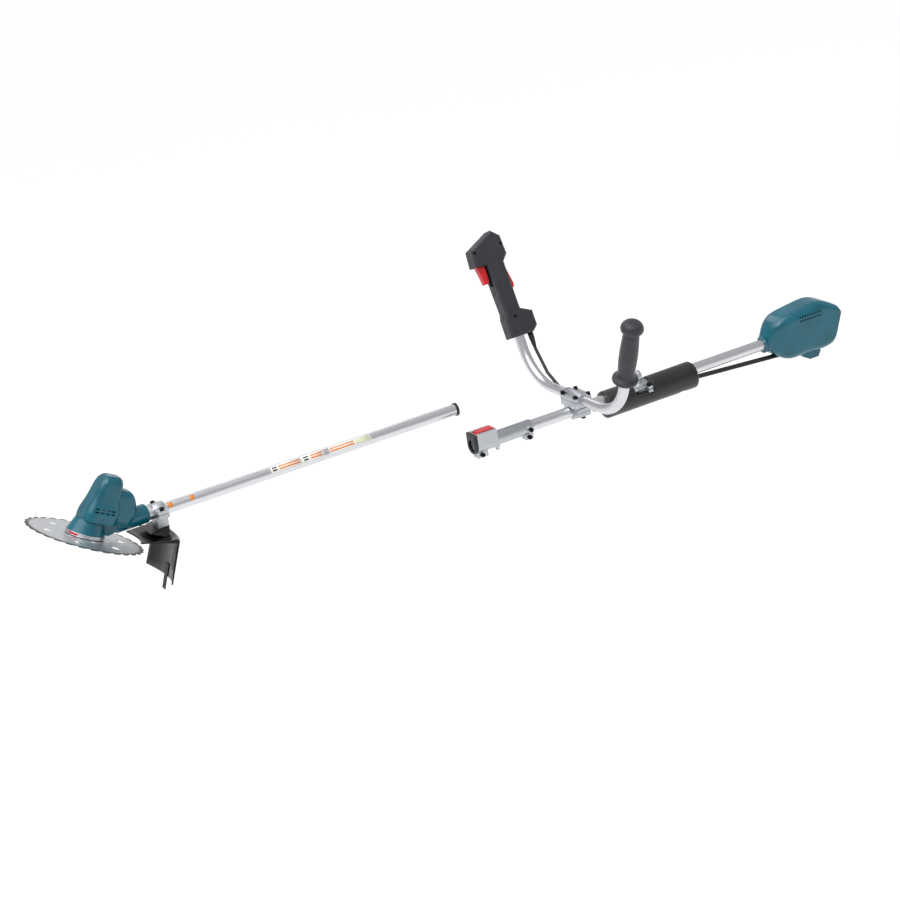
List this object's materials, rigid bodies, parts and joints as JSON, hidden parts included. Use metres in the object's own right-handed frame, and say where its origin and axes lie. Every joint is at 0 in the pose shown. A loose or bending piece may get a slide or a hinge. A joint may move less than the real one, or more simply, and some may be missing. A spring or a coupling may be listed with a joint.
{
  "type": "brush cutter",
  "caption": "Battery brush cutter with a toothed steel blade, a two-piece shaft shown with its halves apart, a raised U-shaped handlebar and a hip pad.",
  "frame": {"origin": "centre of the harness eye on the upper shaft", "axes": "+X along the shaft from the blade to the battery end, +Y to the user's right (trigger side), +Z square to the shaft, towards the grips"},
  "size_m": [1.8566, 0.579, 0.4165],
  "materials": {
    "teal_housing": "glossy moulded",
    "red_plastic": "glossy moulded",
    "black_plastic": "fine grained",
    "grip_plastic": "fine grained",
    "grip_rubber": "moulded",
    "guard_plastic": "glossy moulded",
    "pipe_aluminium": "satin anodised",
    "cast_aluminium": "fine cast",
    "bright_aluminium": "machined",
    "bolt_steel": "black oxide",
    "bright_steel": "ground",
    "blade_steel": "polished",
    "foam": "ribbed foam",
    "cable_rubber": "smooth",
    "seal_rubber": "smooth",
    "circuit": "resin",
    "contact_brass": "plated"
  },
  "bodies": {
    "upper_unit": {"coupler_body": "cast_aluminium", "coupler_bezel": "black_plastic", "lever_pin": "bright_steel", "coupler_screws": "bolt_steel", "upper_pipe": "pipe_aluminium", "upper_socket": "black_plastic", "handle_base": "cast_aluminium", "handle_strap": "cast_aluminium", "handle_cap": "cast_aluminium", "handle_bolts": "bolt_steel", "handlebar": "pipe_aluminium", "left_grip": "grip_rubber", "grip_shell_inner": "grip_plastic", "grip_shell_outer": "grip_plastic", "grip_screws": "bolt_steel", "grip_pins": "bright_steel", "grip_switch": "black_plastic", "strain_relief": "cable_rubber", "switch_cable": "cable_rubber", "power_cable": "cable_rubber", "hanger": "cast_aluminium", "hanger_bolt": "bolt_steel", "hip_pad": "foam", "rear_shell_left": "teal_housing", "rear_shell_right": "teal_housing", "rear_screws": "bolt_steel", "control_board": "circuit", "battery_rail": "black_plastic", "battery_contacts": "contact_brass"},
    "release_lever": {"release_lever": "red_plastic"},
    "locating_pin": {"locating_pin": "bright_steel"},
    "trigger": {"trigger": "red_plastic"},
    "lock_lever": {"lock_lever": "red_plastic"},
    "mouth_seal": {"mouth_seal": "seal_rubber"},
    "lower_unit": {"lower_pipe": "pipe_aluminium", "lower_plug": "black_plastic", "spindle_bearings": "bright_steel", "motor_bearings": "bright_steel", "gear_case": "bright_aluminium", "motor_plate": "bright_aluminium", "motor_stator": "bright_steel", "motor_cap": "bright_aluminium", "head_cover_left": "teal_housing", "head_cover_right": "teal_housing", "head_screws": "bolt_steel", "head_skirt": "teal_housing", "motor_lead": "cable_rubber", "pipe_clamp": "cast_aluminium", "guard_bracket": "cast_aluminium", "guard": "guard_plastic", "guard_bolts": "bolt_steel", "line_cutter": "bright_steel"},
    "blade_unit": {"spindle": "bright_steel", "spindle_gear": "bright_steel", "receiver_washer": "bright_steel", "blade": "blade_steel", "clamp_washer": "bright_steel", "blade_nut": "bolt_steel"},
    "motor_unit": {"motor_rotor": "bright_steel", "motor_pinion": "bright_steel"}
  },
  "joints": [
    {"name": "line_up", "type": "slide", "parent": "upper_unit", "child": "mouth_seal", "axis": [0, -0.4856, -0.8742], "range_m": [0, 0.08236]},
    {"name": "insert", "type": "slide", "parent": "mouth_seal", "child": "lower_unit", "axis": [1, 0, 0], "range_m": [0, 0.08]},
    {"name": "blade_spin", "type": "hinge", "parent": "lower_unit", "child": "blade_unit", "pos_m": [-1.2345, 0.04, 0.045], "axis": [0.4695, 0, 0.8829], "continuous": true},
    {"name": "motor_spin", "type": "hinge", "parent": "lower_unit", "child": "motor_unit", "pos_m": [-1.21684, 0.04, 0.03561], "axis": [0.4695, 0, 0.8829], "continuous": true},
    {"name": "release_lever", "type": "hinge", "parent": "upper_unit", "child": "release_lever", "pos_m": [-0.399, 0, -0.0065], "axis": [0, -1, 0], "range_deg": [0, 50]},
    {"name": "locating_pin", "type": "slide", "parent": "upper_unit", "child": "locating_pin", "axis": [0, 0, 1], "range_m": [0, 0.003]},
    {"name": "trigger", "type": "hinge", "parent": "upper_unit", "child": "trigger", "pos_m": [-0.193, 0.27148, 0.25672], "axis": [0, -0.9232, 0.3843], "range_deg": [0, 12], "stiffness_Nm_per_rad": 0.3, "springref_deg": -11.46},
    {"name": "lock_lever", "type": "hinge", "parent": "upper_unit", "child": "lock_lever", "pos_m": [-0.1425, 0.26033, 0.22994], "axis": [0, 0.9232, -0.3843], "range_deg": [0, 5], "stiffness_Nm_per_rad": 0.2, "springref_deg": -11.46}
  ],
  "couplings": [
    {"joint": "motor_spin", "follows": "blade_spin", "ratio": -3}
  ]
}
